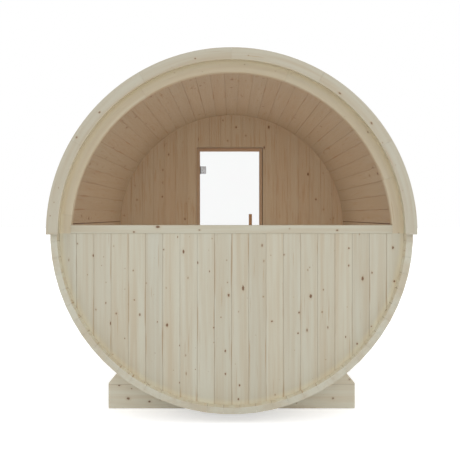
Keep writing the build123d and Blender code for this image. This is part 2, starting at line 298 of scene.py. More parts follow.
# %% Nails of the roof boards
nail_radius = 0.0035
nail_share = 0.3
nail_sink = 0.0004
beside_hoop = 0.025
roof_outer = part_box("roof_crown")[1].z - axis_height
nail_rows = [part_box(name)[1].y + beside_hoop for name in ("hoop_rear", "hoop_middle")]
nail_rows.append(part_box("hoop_front")[0].y - beside_hoop)
nail_mesh = bmesh.new()
for board in range(stave_count // 2 + 1):
    for offset in (-nail_share, nail_share):
        angle = (board + offset) * stave_angle
        if not 0 < angle < math.pi:
            continue
        outward = Vector((math.cos(angle), 0, math.sin(angle)))
        flat = roof_outer / math.cos(offset * stave_angle)
        face = board * stave_angle
        normal = Vector((math.cos(face), 0, math.sin(face)))
        for row in nail_rows:
            spot = Vector((0, row, axis_height)) + outward * flat
            screw_head(nail_mesh, spot - normal * nail_sink, normal, nail_radius)
make_piece("roof_nails", nail_mesh, "sauna")

# %% [markdown]
# The door hangs on two hinges. Each has a fixed bracket on the jamb and a pair of plates that clamp
# the glass. Screws go into the jamb through the bracket, and through the outer plate to the inner one.

# %% Screws of the hinges
screw_radius = 0.0045
bracket_screw_radius = screw_radius * 0.7
screw_spread_share = 0.3
screw_inset_share = 0.2
bracket_thickness = 0.004


def node_islands(node):
    """Boxes of the separate solids in a node, as pairs of corners."""
    mesh = bmesh.new()
    mesh.from_mesh(node.data)
    bmesh.ops.remove_doubles(mesh, verts=mesh.verts, dist=same_point)
    boxes = []
    left_over = set(mesh.verts)
    while left_over:
        found = [left_over.pop()]
        for vertex in found:
            beside = {edge.other_vert(vertex) for edge in vertex.link_edges} & left_over
            left_over -= beside
            found.extend(beside)
        spots = [tuple(vertex.co) for vertex in found]
        boxes.append((Vector(map(min, zip(*spots))), Vector(map(max, zip(*spots)))))
    mesh.free()
    return sorted(boxes, key=lambda corners: tuple(corners[0]))


bracket_mesh = bmesh.new()
jamb_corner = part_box("door_jamb_left")[1]
bracket_face = jamb_corner.y + bracket_thickness
outward = Vector((0, 1, 0))
for low, high in node_islands(nodes["hinge_brackets"]):
    place_x = low.x + screw_inset_share * (jamb_corner.x - low.x)
    for share in (-screw_spread_share, 0.0, screw_spread_share):
        place_z = (low.z + high.z) / 2 + share * (high.z - low.z)
        spot = Vector((place_x, bracket_face, place_z))
        screw_head(bracket_mesh, spot, outward, bracket_screw_radius)
make_piece("hinge_bracket_screws", bracket_mesh, "sauna")

# %% Screws through the hinge plates
plate_thickness = 0.005
half_plate = 0.026
screw_shift = 0.004
plate_mesh = bmesh.new()
glass_low, glass_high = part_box("door_glass")
for low, high in node_islands(nodes["door_hinge_plates"]):
    outer = high.y > glass_high.y
    face = glass_high.y + plate_thickness if outer else low.y
    side = outward if outer else -outward
    middle = Vector((high.x - half_plate, face, (low.z + high.z) / 2))
    for share in (-screw_spread_share, screw_spread_share):
        spot = middle + Vector((screw_shift, 0, share * (high.z - low.z)))
        screw_head(plate_mesh, spot, side, screw_radius)
make_piece("hinge_plate_screws", plate_mesh, "door")

# %% [markdown]
# Two soft strips run round the doorway. A rubber seal lies in the rebate of the frame, where the glass
# closes against it, and a rope of flax fills the joint between the frame and the sawn wall boards.
# Square strips would do, but both are round in life, so a round profile is swept round the doorway.

# %% A strip round the doorway
strip_sides = 10


def sweep_round_doorway(mesh, inside, outside, depth, half_depth):
    """Sweeps an oval strip between two upright frames, each given as left, bottom, right and top."""
    rings = []
    for corner_x, corner_z in ((0, 1), (2, 1), (2, 3), (0, 3)):
        inner = Vector((inside[corner_x], depth, inside[corner_z]))
        outer = Vector((outside[corner_x], depth, outside[corner_z]))
        middle = (inner + outer) / 2
        half_width = (outer - inner) / 2
        ring = []
        for side in range(strip_sides):
            angle = math.tau * side / strip_sides
            through = Vector((0, half_depth * math.sin(angle), 0))
            ring.append(mesh.verts.new(middle + half_width * math.cos(angle) + through))
        rings.append(ring)
    skin(mesh, rings + rings[:1])


print("strips have", strip_sides, "sides")

# %% The door seal
seal_radius = 0.0026
seal_inset = 0.0045
seal_clearance = 0.0004
head_low, head_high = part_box("door_head")
threshold_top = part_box("door_threshold")[1].z
clear_frame = (head_low.x, threshold_top, head_high.x, head_low.z)


def grown(edges, margin):
    """An upright frame made larger by a margin on each side."""
    left, bottom, right, top = edges
    return (left - margin, bottom - margin, right + margin, top + margin)


seal_inside = grown(clear_frame, seal_inset - seal_radius)
seal_outside = grown(clear_frame, seal_inset + seal_radius)
seal_depth = glass_low.y - seal_clearance - seal_radius
seal_mesh = bmesh.new()
sweep_round_doorway(seal_mesh, seal_inside, seal_outside, seal_depth, seal_radius)
make_piece("door_seal", seal_mesh, "sauna")

# %% The flax rope in the joint of the frame
rope_recess = 0.006
rope_half_depth = (front_high.y - front_low.y) / 2 - rope_recess
opening = (door_left, door_bottom, door_right, door_top)
sawn_opening = (saw_left, saw_bottom, saw_right, saw_top)
rope_mesh = bmesh.new()
sweep_round_doorway(rope_mesh, opening, sawn_opening, wall_middle, rope_half_depth)
make_piece("door_frame_rope", rope_mesh, "sauna")

# %% [markdown]
# All the timber is spruce, cut in four ways: upright boards, staves along the barrel, arcs and planks.
# One finish could not follow all of them, because grain runs along each piece. So the work is split.
# A layout group turns a place on the sauna into a place on its own board, and a figure group paints
# spruce there. The small helpers below keep the node trees short to read.

# %% Helpers for sockets and arithmetic


def put(tree, socket, value):
    """Feeds a socket from another one, or sets its value."""
    if isinstance(value, bpy.types.NodeSocket):
        tree.links.new(value, socket)
    else:
        socket.default_value = value


def feed(tree, sockets, values):
    """Feeds sockets by their names."""
    for label, value in values.items():
        put(tree, sockets[label], value)


def calc(tree, operation, *values):
    """One step of arithmetic."""
    step = tree.nodes.new("ShaderNodeMath")
    step.operation = operation
    for socket, value in zip(step.inputs, values):
        put(tree, socket, value)
    return step.outputs["Value"]


def scaled(tree, value, factor, offset=None):
    """A value times a factor, plus an offset if there is one."""
    if offset is None:
        return calc(tree, "MULTIPLY", value, factor)
    return calc(tree, "MULTIPLY_ADD", value, factor, offset)


def minus(tree, one, two):
    """What is left of one value without another."""
    return calc(tree, "SUBTRACT", one, two)


def length(tree, one, two):
    """The length that two parts at right angles give."""
    return calc(tree, "SQRT", scaled(tree, one, one, scaled(tree, two, two)))


def split(tree, vector):
    """The three parts of a vector."""
    step = tree.nodes.new("ShaderNodeSeparateXYZ")
    put(tree, step.inputs["Vector"], vector)
    return step.outputs["X"], step.outputs["Y"], step.outputs["Z"]


def join(tree, x, y, z):
    """A vector of three parts."""
    step = tree.nodes.new("ShaderNodeCombineXYZ")
    feed(tree, step.inputs, {"X": x, "Y": y, "Z": z})
    return step.outputs["Vector"]


print("sockets can be fed and reckoned with")

# %% Helpers for masks, colours and groups
socket_kinds = {"Position": "Vector", "Grain": "Vector", "Pale": "Color", "Tan": "Color", "Color": "Color"}


def fade(tree, value, start, stop):
    """0 at start and 1 at stop, with a soft course between them."""
    step = tree.nodes.new("ShaderNodeMapRange")
    step.interpolation_type = "SMOOTHSTEP"
    feed(tree, step.inputs, {"Value": value, "From Min": start, "From Max": stop})
    return step.outputs["Result"]


def blend_colours(tree, share, one, two, mode="MIX"):
    """A share of the second colour over the first."""
    step = tree.nodes.new("ShaderNodeMix")
    step.data_type = "RGBA"
    step.blend_type = mode
    put(tree, step.inputs[0], share)
    put(tree, step.inputs[6], one)
    put(tree, step.inputs[7], two)
    return step.outputs[2]


def cloud(tree, vector, scale, detail=2.0, roughness=0.5):
    """Soft noise between 0 and 1."""
    step = tree.nodes.new("ShaderNodeTexNoise")
    feed(tree, step.inputs, {"Vector": vector, "Scale": scale, "Detail": detail, "Roughness": roughness})
    return step.outputs[0]


def new_group(name, inputs, outputs):
    """An empty shader group with named sockets; returns the group and its two ends."""
    group = bpy.data.node_groups.new(name, "ShaderNodeTree")
    for in_out, labels in (("INPUT", inputs), ("OUTPUT", outputs)):
        for label in labels:
            kind = "NodeSocket" + socket_kinds.get(label, "Float")
            group.interface.new_socket(name=label, in_out=in_out, socket_type=kind)
    start = group.nodes.new("NodeGroupInput").outputs
    end = group.nodes.new("NodeGroupOutput").inputs
    print("group", name, "takes", inputs)
    return group, start, end


def place_group(tree, group, values):
    """Places a group in a material and feeds its named sockets."""
    step = tree.nodes.new("ShaderNodeGroup")
    step.node_tree = group
    feed(tree, step.inputs, values)
    return step.outputs


print("groups have", len(socket_kinds), "sockets that aren't plain numbers")

# %% [markdown]
# Staves and roof boards lie round the axis. Their number follows from the angle of a place, the way
# across a board is an arc, and the grain runs along Y. Joint is the distance to the nearest joint.
# Just over the axis, on both sides, the joint between two staves is painted dark brown inside the cabin.
# This is painted shade of an open joint, which the mesh doesn't have. Open Joint marks it.

# %% Layout of boards round the barrel
open_joint_edge = 0.005
open_joint_core = 0.002
layout_outputs = ["Grain", "Board", "Joint"]


def from_axis(tree, given):
    """Measures a place from the axis: its X, its Y, its rise over the axis and its distance."""
    x, y, z = split(tree, given["Position"])
    rise = minus(tree, z, given["Axis Height"])
    return x, y, rise, length(tree, x, rise)


def count_boards(tree, turns):
    """The number of a board, the place beside its middle and the share that is left to its edge."""
    board = calc(tree, "FLOOR", turns)
    beside = minus(tree, minus(tree, turns, board), 0.5)
    return board, beside, minus(tree, 0.5, calc(tree, "ABSOLUTE", beside))


stave_layout, given, result = new_group(
    "stave_layout", ["Position", "Axis Height", "Board Angle"], [*layout_outputs, "Open Joint"]
)
tree = stave_layout
x, y, rise, radius = from_axis(tree, given)
angle = calc(tree, "ARCTAN2", rise, x)
turns = calc(tree, "ADD", calc(tree, "DIVIDE", angle, given["Board Angle"]), 0.5)
board, beside, to_edge = count_boards(tree, turns)
board_width = scaled(tree, radius, given["Board Angle"])
across = scaled(tree, beside, board_width)
put(tree, result["Grain"], join(tree, across, radius, y))
put(tree, result["Board"], board)
put(tree, result["Joint"], scaled(tree, to_edge, board_width))
half_board = scaled(tree, board_width, 0.5)
off_joint = calc(tree, "ABSOLUTE", minus(tree, rise, half_board))
put(tree, result["Open Joint"], fade(tree, off_joint, open_joint_edge, open_joint_core))

# %% [markdown]
# The fascias and the window arch are short arcs, joined end to end. Straight grain along each of them
# would show as chevrons at the joints, and on this sauna the figure runs round with the arc. So the
# number of an arc follows from the angle too, but its grain lies along that angle.

# %% Layout of arcs
arc_inputs = ["Position", "Axis Height", "First Joint", "Segment Angle", "Middle Radius"]
arc_layout, given, result = new_group("arc_layout", arc_inputs, layout_outputs)
tree = arc_layout
x, y, rise, radius = from_axis(tree, given)
angle = calc(tree, "ARCTAN2", rise, x)
past = minus(tree, angle, given["First Joint"])
board, _, to_edge = count_boards(tree, calc(tree, "DIVIDE", past, given["Segment Angle"]))
across = minus(tree, radius, given["Middle Radius"])
along = scaled(tree, angle, given["Middle Radius"])
arc_length = scaled(tree, given["Segment Angle"], given["Middle Radius"])
put(tree, result["Grain"], join(tree, across, y, along))
put(tree, result["Board"], board)
put(tree, result["Joint"], scaled(tree, to_edge, arc_length))

# %% [markdown]
# Upright boards, floor slats, rails and cradle planks are straight. One group serves them all: it takes
# the place with its parts already in the order across, through and along, and cuts it into boards.

# %% Layout of straight boards
plank_inputs = ["Position", "Pitch", "First Joint"]
plank_layout, given, result = new_group("plank_layout", plank_inputs, layout_outputs)
tree = plank_layout
across, through, along = split(tree, given["Position"])
past = minus(tree, across, given["First Joint"])
board, beside, to_edge = count_boards(tree, calc(tree, "DIVIDE", past, given["Pitch"]))
board_across = scaled(tree, beside, given["Pitch"])
put(tree, result["Grain"], join(tree, board_across, through, along))
put(tree, result["Board"], board)
put(tree, result["Joint"], scaled(tree, to_edge, given["Pitch"]))

# %% [markdown]
# Spruce is pale, with soft streaks, faint growth lines and small dark knots, three or four to a board.
# Each board gets its own stretch of figure from its number, so no streak runs on into the next board.
# Knots are the cells of a Voronoi texture: each has its own size, and the growth lines bend round it.

# %% Figure of spruce: sockets and board numbers
jump_across = 7.0
jump_along = 23.0
wood_inputs = ["Seed", "Pale", "Tan", "Knot Size", "Board Contrast", "Seam Depth", "Heart Lines"]
spruce_figure, given, result = new_group(
    "spruce_figure", layout_outputs + wood_inputs, ["Color", "Roughness", "Height"]
)
tree = spruce_figure
own_number = tree.nodes.new("ShaderNodeTexWhiteNoise")
own_number.noise_dimensions = "2D"
put(tree, own_number.inputs["Vector"], join(tree, given["Board"], given["Seed"], 0.0))
luck = tree.nodes.new("ShaderNodeSeparateColor")
put(tree, luck.inputs["Color"], own_number.outputs["Color"])
across, through, along = split(tree, given["Grain"])
own_across = scaled(tree, luck.outputs["Red"], jump_across, across)
own_along = scaled(tree, luck.outputs["Green"], jump_along, along)
print("each board takes its own stretch of figure")

# %% Knots
knots_per_metre = 8.0
knot_rim_scale = 160.0
knot_slimming = 0.55
least_knot = 0.12
size_course = 1.6
core_share_of_radius = 0.45
halo_share_of_radius = 2.2
knot_cells = tree.nodes.new("ShaderNodeTexVoronoi")
knot_cells.voronoi_dimensions = "2D"
put(tree, knot_cells.inputs["Vector"], join(tree, own_across, own_along, 0.0))
put(tree, knot_cells.inputs["Scale"], knots_per_metre)
knot_luck = tree.nodes.new("ShaderNodeSeparateColor")
put(tree, knot_luck.inputs["Color"], knot_cells.outputs["Color"])
knot_x, knot_y, _ = split(tree, knot_cells.outputs["Position"])
off_x = minus(tree, own_across, knot_x)
off_y = minus(tree, own_along, knot_y)
slender = scaled(tree, knot_luck.outputs["Green"], -knot_slimming, 1.0)
off_y_round = scaled(tree, off_y, slender)
ragged = cloud(tree, join(tree, own_across, own_along, given["Seed"]), knot_rim_scale, 1.0)
knot_distance = scaled(tree, length(tree, off_x, off_y_round), calc(tree, "ADD", ragged, 0.5))
size_luck = calc(tree, "POWER", knot_luck.outputs["Red"], size_course)
knot_depth = fade(tree, knot_luck.outputs["Blue"], 0.15, 0.8)
depth_size = scaled(tree, knot_depth, 0.5, 0.5)
full_radius = scaled(tree, calc(tree, "ADD", size_luck, least_knot), given["Knot Size"])
knot_radius = scaled(tree, full_radius, depth_size)
core_radius = scaled(tree, knot_radius, core_share_of_radius)
halo_radius = scaled(tree, knot_radius, halo_share_of_radius)
knot_core = fade(tree, knot_distance, knot_radius, core_radius)
knot_halo = fade(tree, knot_distance, halo_radius, knot_radius)
print("knots are up to a few centimetres long")

# %% Streaks, growth lines and fibres
bend_round_knots = 0.7
streak_scale = 42.0
wide_streak_scale = 13.0
drift_scale = 7.0
drift_swing = 26.0
growth_rate = 900.0
fibre_scale = 700.0
sway = scaled(tree, scaled(tree, off_x, knot_halo), bend_round_knots)
bent = minus(tree, own_across, sway)
slow = join(tree, bent, scaled(tree, own_along, 0.035), given["Seed"])
streaks = cloud(tree, slow, streak_scale, 2.5, 0.55)
wide_streaks = cloud(tree, slow, wide_streak_scale, 1.0, 0.5)
drawn = join(tree, bent, scaled(tree, own_along, 0.12), given["Board"])
drift = cloud(tree, drawn, drift_scale, 1.0)
rings = scaled(tree, drift, drift_swing, scaled(tree, bent, growth_rate))
growth = calc(tree, "POWER", scaled(tree, calc(tree, "SINE", rings), 0.5, 0.5), 2.0)
drawn = join(tree, bent, scaled(tree, own_along, 0.02), through)
fibres = cloud(tree, drawn, fibre_scale, 2.0, 0.6)
print(f"growth lines are about {math.tau / growth_rate * 1000:.0f} mm apart")

# %% Colour of the wood
least_tan = 0.06
streak_tan = 0.42
wide_tan = 0.35
growth_tan = 0.16
fibre_tan = 0.18
warmth = 3.5
redness = -0.17
streak_share = scaled(tree, fade(tree, streaks, 0.36, 0.66), streak_tan, least_tan)
wide_share = scaled(tree, fade(tree, wide_streaks, 0.38, 0.68), wide_tan, streak_share)
growth_share = scaled(tree, growth, growth_tan, wide_share)
tan_share = scaled(tree, fibres, fibre_tan, growth_share)
plain = blend_colours(tree, tan_share, given["Pale"], given["Tan"])
board_tone = tree.nodes.new("ShaderNodeHueSaturation")
shift = minus(tree, luck.outputs["Blue"], 0.5)
warm = minus(tree, own_number.outputs["Value"], 0.5)
warm_share = scaled(tree, warm, given["Board Contrast"])
own_tone = {
    "Value": scaled(tree, shift, given["Board Contrast"], 1.0),
    "Saturation": scaled(tree, warm_share, warmth, 1.0),
    "Hue": scaled(tree, warm_share, redness, 0.5),
    "Color": plain,
}
feed(tree, board_tone.inputs, own_tone)
print("boards differ a little in tone")

# %% Resin along the edges, heart lines and knots
resin_brown = (0.36, 0.21, 0.095, 1)
halo_tan = (0.43, 0.30, 0.17, 1)
knot_brown = (0.145, 0.064, 0.028, 1)
heart_scale = 88.0
resin_place = join(tree, given["Board"], scaled(tree, own_along, 2.2), across)
resin_course = fade(tree, cloud(tree, resin_place, 1.0, 2.0), 0.52, 0.66)
resin = scaled(tree, resin_course, fade(tree, given["Joint"], 0.010, 0.001))
heart_start = scaled(tree, given["Heart Lines"], -0.13, 0.71)
heart_stop = calc(tree, "ADD", heart_start, 0.07)
heart = fade(tree, cloud(tree, slow, heart_scale, 1.0), heart_start, heart_stop)
resin_share = scaled(tree, scaled(tree, resin, 0.55), given["Seam Depth"])
brown = calc(tree, "MAXIMUM", resin_share, scaled(tree, heart, 0.35))
streaked = blend_colours(tree, brown, board_tone.outputs["Color"], resin_brown)
haloed = blend_colours(tree, scaled(tree, knot_halo, 0.20), streaked, halo_tan)
core_share = scaled(tree, knot_core, scaled(tree, knot_depth, 0.45, 0.45))
knotted = blend_colours(tree, core_share, haloed, knot_brown)
print("resin, heart lines and knots lie over the wood")

# %% Seams, roughness and relief
joint_brown = (0.20, 0.13, 0.075, 1)
seam_luck = scaled(tree, luck.outputs["Green"], 0.6, 0.1)
seam_line = scaled(tree, fade(tree, given["Joint"], 0.0022, 0.0004), seam_luck)
seam = scaled(tree, seam_line, given["Seam Depth"])
put(tree, result["Color"], blend_colours(tree, seam, knotted, joint_brown))
smooth_knots = scaled(tree, knot_core, -0.12, 0.56)
put(tree, result["Roughness"], scaled(tree, fibres, 0.16, smooth_knots))
relief = scaled(tree, growth, 0.35, scaled(tree, fibres, 0.65))
put(tree, result["Height"], minus(tree, relief, scaled(tree, knot_core, 0.5)))
print("spruce figure has", len(tree.nodes), "nodes")

# %% [markdown]
# Inside, the same wood is painted a warmer and darker brown. This is partly the toasting of heat and dry
# air, and partly painted shade for the cabin under its roof. One mask tells the cabin from the
# open air by two measures: the distance from the axis, and the place between the two end walls.

# %% Mask of the cabin
cabin_inputs = ["Position", "Axis Height", "Cabin Radius", "Cabin Half Length"]
cabin_mask, given, result = new_group("cabin_mask", cabin_inputs, ["Mask"])
tree = cabin_mask
_, y, _, radius = from_axis(tree, given)
within = calc(tree, "LESS_THAN", radius, given["Cabin Radius"])
between = calc(tree, "LESS_THAN", calc(tree, "ABSOLUTE", y), given["Cabin Half Length"])
put(tree, result["Mask"], scaled(tree, within, between))

# %% [markdown]
# Out of doors, the wood is painted lighter and warmer towards the recess behind the rim. This is painted
# light, which stands in for the light that reaches into that shaded recess. A second mask grows towards the
# inner face of the staves and marks that recess. Indoors the same mask finds the rim of the door wall,
# where it paints shade.

# %% Mask of the rim for painted light and shade
painted_rim_inputs = ["Position", "Axis Height", "Recess Radius", "Reach", "Margin"]
painted_rim_mask, given, result = new_group("painted_rim_mask", painted_rim_inputs, ["Mask"])
tree = painted_rim_mask
_, _, _, radius = from_axis(tree, given)
start = minus(tree, given["Recess Radius"], given["Reach"])
deep = fade(tree, radius, start, given["Recess Radius"])
rim = calc(tree, "ADD", given["Recess Radius"], given["Margin"])
put(tree, result["Mask"], scaled(tree, deep, calc(tree, "LESS_THAN", radius, rim)))

# %% [markdown]
# The sawn ends of the staves show end grain: growth rings in arcs, and fine pores. The rings of a
# stave lie round the heart of its log, a little inside the barrel. Painted in the stave's own place,
# they need no further mesh.

# %% End grain
spruce_pale = (0.550, 0.540, 0.450, 1)
spruce_tan = (0.485, 0.425, 0.318, 1)
pith_depth = 0.03
end_start = half_length - 0.0015
end_stop = half_length - 0.0005
ring_rate = 1500.0


def end_grain(tree, place, grain, colour):
    """Lays end grain over the sawn ends of the staves."""
    _, y, _ = split(tree, place)
    at_end = fade(tree, calc(tree, "ABSOLUTE", y), end_start, end_stop)
    across, radius, _ = split(tree, grain)
    from_pith = minus(tree, radius, stave_inner - pith_depth)
    pores = cloud(tree, place, 160.0, 3.0, 0.65)
    patches = fade(tree, cloud(tree, place, 7.0, 3.0, 0.6), 0.35, 0.65)
    wobble = scaled(tree, pores, 3.0)
    rings = scaled(tree, length(tree, across, from_pith), ring_rate, wobble)
    patched = scaled(tree, patches, 0.8, minus(tree, pores, 0.4))
    ring_share = scaled(tree, calc(tree, "SINE", rings), 0.3, patched)
    sawn = blend_colours(tree, ring_share, spruce_pale, spruce_tan)
    return blend_colours(tree, scaled(tree, at_end, 0.9), colour, sawn)


print(f"end grain has a ring about every {math.tau / ring_rate * 1000:.0f} mm")

# %% [markdown]
# One function puts the groups together, so that each kind of timber only has to state what is its own:
# how its boards lie, how knotty it is and how its tone differs. The shader itself stays in the material.

# %% Parts of a finish


def new_finish(name, targets):
    """Gives a new material to pieces and nodes; returns its node tree and its shader."""
    material = bpy.data.materials.new(name)
    material.use_nodes = True
    for target in targets:
        pieces[target].data.materials.clear()
        pieces[target].data.materials.append(material)
    print("finish", name, "on", targets)
    return material.node_tree, material.node_tree.nodes["Principled BSDF"]


def object_place(tree):
    """The place on the object, in metres."""
    return tree.nodes.new("ShaderNodeTexCoord").outputs["Object"]


def bump_normal(tree, height, strength, distance):
    """A normal that follows a height."""
    bump = tree.nodes.new("ShaderNodeBump")
    feed(tree, bump.inputs, {"Height": height, "Strength": strength, "Distance": distance})
    return bump.outputs["Normal"]


def paint_rim_light_and_shade(tree, place, where, colour, tone, radius, reach, margin):
    """Multiplies a colour by a tone towards a rim, only where another mask is 1: a tone over 1 paints light
    there, a tone under 1 paints shade.
    """
    rim = {"Recess Radius": radius, "Reach": reach, "Margin": margin}
    mask = place_group(tree, painted_rim_mask, {"Position": place, "Axis Height": axis_height, **rim})["Mask"]
    return blend_colours(tree, scaled(tree, mask, where), colour, tone, "MULTIPLY")


print("finishes can go on", len(pieces), "pieces and nodes")

# %% A spruce finish for one way of laying boards
cabin_radius = stave_inner + 0.4 * stave_thickness
# Cabin colours are darker than those outside: partly toasted wood, partly painted shade.
cabin_pale = (0.455, 0.384, 0.281, 1)
cabin_tan = (0.423, 0.338, 0.233, 1)
open_joint_shade_brown = (0.13, 0.070, 0.040, 1)
grain_bump = 0.35
grain_depth = 0.0006
outer_hearts = 0.2
recess_reach = 0.040
rim_margin = 0.05
corner_shade_reach = 0.11


def spruce(
    name, targets, layout, layout_values, order="XYZ", seed=0.0,
    knots=0.006, contrast=0.09, seams=1.0, hearts=outer_hearts, tint=None,
    painted_light=None, painted_light_radius=stave_inner, painted_light_reach=recess_reach, corner=None,
):
    """A spruce finish; order gives the axes that run across, through and along the boards."""
    tree, shader = new_finish(name, targets)
    place = object_place(tree)
    parts = dict(zip("XYZ", split(tree, place)))
    ordered = join(tree, *[parts[letter] for letter in order])
    laid = place_group(tree, layout, {"Position": ordered, **layout_values})
    cabin = {"Axis Height": axis_height, "Cabin Radius": cabin_radius, "Cabin Half Length": wall_middle}
    indoors = place_group(tree, cabin_mask, {"Position": place, **cabin})["Mask"]
    pale, tan = tint if tint else (spruce_pale, spruce_tan)
    inner_pale, inner_tan = tint if tint else (cabin_pale, cabin_tan)
    figure = place_group(
        tree,
        spruce_figure,
        {
            **{label: laid[label] for label in layout_outputs},
            "Seed": seed,
            "Pale": blend_colours(tree, indoors, pale, inner_pale),
            "Tan": blend_colours(tree, indoors, tan, inner_tan),
            "Knot Size": knots,
            "Board Contrast": contrast,
            "Seam Depth": seams,
            "Heart Lines": scaled(tree, indoors, hearts - outer_hearts, outer_hearts),
        },
    )
    colour = figure["Color"]
    # Painted shade: indoors, the joint over the axis gets a dark brown line, as if it stood open.
    if layout == stave_layout:
        painted_joint_shade = scaled(tree, laid["Open Joint"], indoors)
        colour = blend_colours(tree, painted_joint_shade, colour, open_joint_shade_brown)
    # Painted light: outdoors, the wood grows lighter and warmer towards the recess behind the rim.
    if painted_light:
        outdoors = minus(tree, 1.0, indoors)
        margin = painted_light_reach * rim_margin
        colour = paint_rim_light_and_shade(tree, place, outdoors, colour, painted_light, painted_light_radius, painted_light_reach, margin)
    # Painted shade: indoors, the door wall darkens towards its rim, in the corner by the staves.
    if corner:
        colour = paint_rim_light_and_shade(tree, place, indoors, colour, corner, wall_radius, corner_shade_reach, corner_shade_reach)
    if layout == stave_layout:
        colour = end_grain(tree, place, laid["Grain"], colour)
    normal = bump_normal(tree, figure["Height"], grain_bump, grain_depth)
    feed(tree, shader.inputs, {"Base Color": colour, "Roughness": figure["Roughness"], "Normal": normal})
    shader.inputs["Specular IOR Level"].default_value = 0.25
    return shader


# Toasted here means the darker cabin colours, which are partly painted shade.
print(f"the cabin is toasted up to {cabin_radius:.3f} from the axis")

# %% [markdown]
# Now each kind of timber gets its finish. The boards of the half wall are the nearest surface, so their
# tones differ a little more from one to the next than those of the staves.

# %% Boards of the end walls
# Tones over 1 are painted light in the recess behind the rim.
board_painted_light = (1.17, 1.15, 1.08, 1)
# A tone under 1 on the rim of the door wall indoors is painted shade in the corner.
painted_corner_shade = (0.98, 0.96, 0.945, 1)
wall_values = {"Pitch": board_pitch, "First Joint": 0.0}
spruce(
    "spruce_wall_boards", ["rear_wall_boards"], plank_layout, wall_values,
    seed=3.0, knots=0.0095, contrast=0.05, painted_light=board_painted_light,
)
spruce(
    "spruce_door_wall_boards", ["front_wall_boards"], plank_layout, wall_values,
    seed=5.0, knots=0.0125, contrast=0.03, hearts=1.0, painted_light=board_painted_light, corner=painted_corner_shade,
)

# %% Staves and roof
# Painted light on the staves in the recess behind the rim.
stave_painted_light = (1.22, 1.20, 1.15, 1)
round_values = {"Axis Height": axis_height, "Board Angle": stave_angle}
staves = ["staves_top", "staves_left", "staves_right", "staves_bottom"]
spruce(
    "spruce_staves", staves, stave_layout, round_values,
    seed=11.0, knots=0.012, contrast=0.03, seams=1.4, hearts=0.6, painted_light=stave_painted_light,
)
roof = ["roof_left", "roof_crown", "roof_right"]
spruce("spruce_roof_boards", roof, stave_layout, round_values, seed=29.0, knots=0.009, contrast=0.08)

# %% Fascias
fascia_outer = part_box("rear_fascia")[1].x
fascia_width = 0.071
fascia_tint = ((0.500, 0.480, 0.395, 1), (0.440, 0.378, 0.278, 1))
# Painted light on the inner edge of the fascias.
fascia_painted_light = (1.10, 1.12, 1.05, 1)
fascia_values = {
    "Axis Height": axis_height,
    "First Joint": 0.0,
    "Segment Angle": math.pi / 6,
    "Middle Radius": fascia_outer - fascia_width / 2,
}
spruce(
    "spruce_fascias", ["rear_fascia", "front_fascia"], arc_layout, fascia_values,
    seed=41.0, knots=0.008, contrast=0.03, seams=0.1, tint=fascia_tint,
    painted_light=fascia_painted_light, painted_light_radius=fascia_outer - fascia_width, painted_light_reach=0.004,
)

# %% Window arch
half_arch_width = 0.041
arch_tint = ((0.595, 0.540, 0.420, 1), (0.540, 0.463, 0.335, 1))
# Painted light on the arch, which lies in the recess under the fascia.
arch_painted_light = (1.20, 1.20, 1.14, 1)
arch_values = {
    "Axis Height": axis_height,
    "First Joint": math.radians(19),
    "Segment Angle": math.radians(51.6),
    "Middle Radius": wall_radius - half_arch_width,
}
spruce(
    "spruce_arch", ["rear_arch"], arc_layout, arch_values,
    seed=53.0, knots=0.004, contrast=0.03, seams=0.2, tint=arch_tint, painted_light=arch_painted_light,
)

# %% Rails and door frame
whole = {"Pitch": 8.0, "First Joint": -4.0}
rail_tint = ((0.530, 0.522, 0.435, 1), (0.465, 0.408, 0.305, 1))
frame_tint = ((0.415, 0.318, 0.222, 1), (0.335, 0.242, 0.160, 1))
for name, targets, order, seed, knots, tint in (
    ("spruce_rails", ["rear_sill", "floor_bearers"], "ZYX", 62.0, 0.010, rail_tint),
    ("spruce_door_rails", ["door_head", "door_threshold"], "ZYX", 67.0, 0.004, frame_tint),
    ("spruce_door_posts", ["door_jamb_left", "door_jamb_right"], "XYZ", 71.0, 0.004, frame_tint),
):
    spruce(name, targets, plank_layout, whole, order=order, seed=seed, knots=knots, tint=tint)

# %% Floor and cradles
slat_count = 9
slat_gap = 0.012
slat_low, slat_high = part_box("floor_slats")
slat_values = {
    "Pitch": (slat_high.x - slat_low.x + slat_gap) / slat_count,
    "First Joint": slat_low.x - slat_gap / 2,
}
spruce("spruce_floor", ["floor_slats"], plank_layout, slat_values, order="XZY", seed=83.0)
cradle_plank = 0.158
# The cradles are painted lighter than the other spruce to lift the shade they get under the barrel: painted
# light.
cradle_tint = ((0.670, 0.650, 0.540, 1), (0.590, 0.510, 0.380, 1))
cradle_values = {"Pitch": cradle_plank, "First Joint": 0.0}
spruce(
    "spruce_cradles", ["rear_cradle", "front_cradle"], plank_layout, cradle_values,
    order="ZYX", seed=98.0, knots=0.013, contrast=0.04, tint=cradle_tint,
)

# %% [markdown]
# The handle bars are turned from a darker, oiled wood. The same figure serves, with browner colours
# and hardly any knots, and a thin coat on the shader gives the sheen of the oil.

# %% Handle bars
handle_tint = ((0.42, 0.272, 0.140, 1), (0.28, 0.168, 0.078, 1))
oil_coat = 0.25
oil_roughness = 0.3
handles = ["door_handle_inner", "door_handle_outer"]
oiled = spruce("oiled_handle_wood", handles, plank_layout, whole, seed=113.0, knots=0.001, tint=handle_tint)
oiled.inputs["Coat Weight"].default_value = oil_coat
oiled.inputs["Coat Roughness"].default_value = oil_roughness

# %% [markdown]
# Hoops, hinges and screws are brushed stainless steel. The brushing is a noise drawn out along the band;
# it changes the roughness and the colour a little, and lies in the bump.

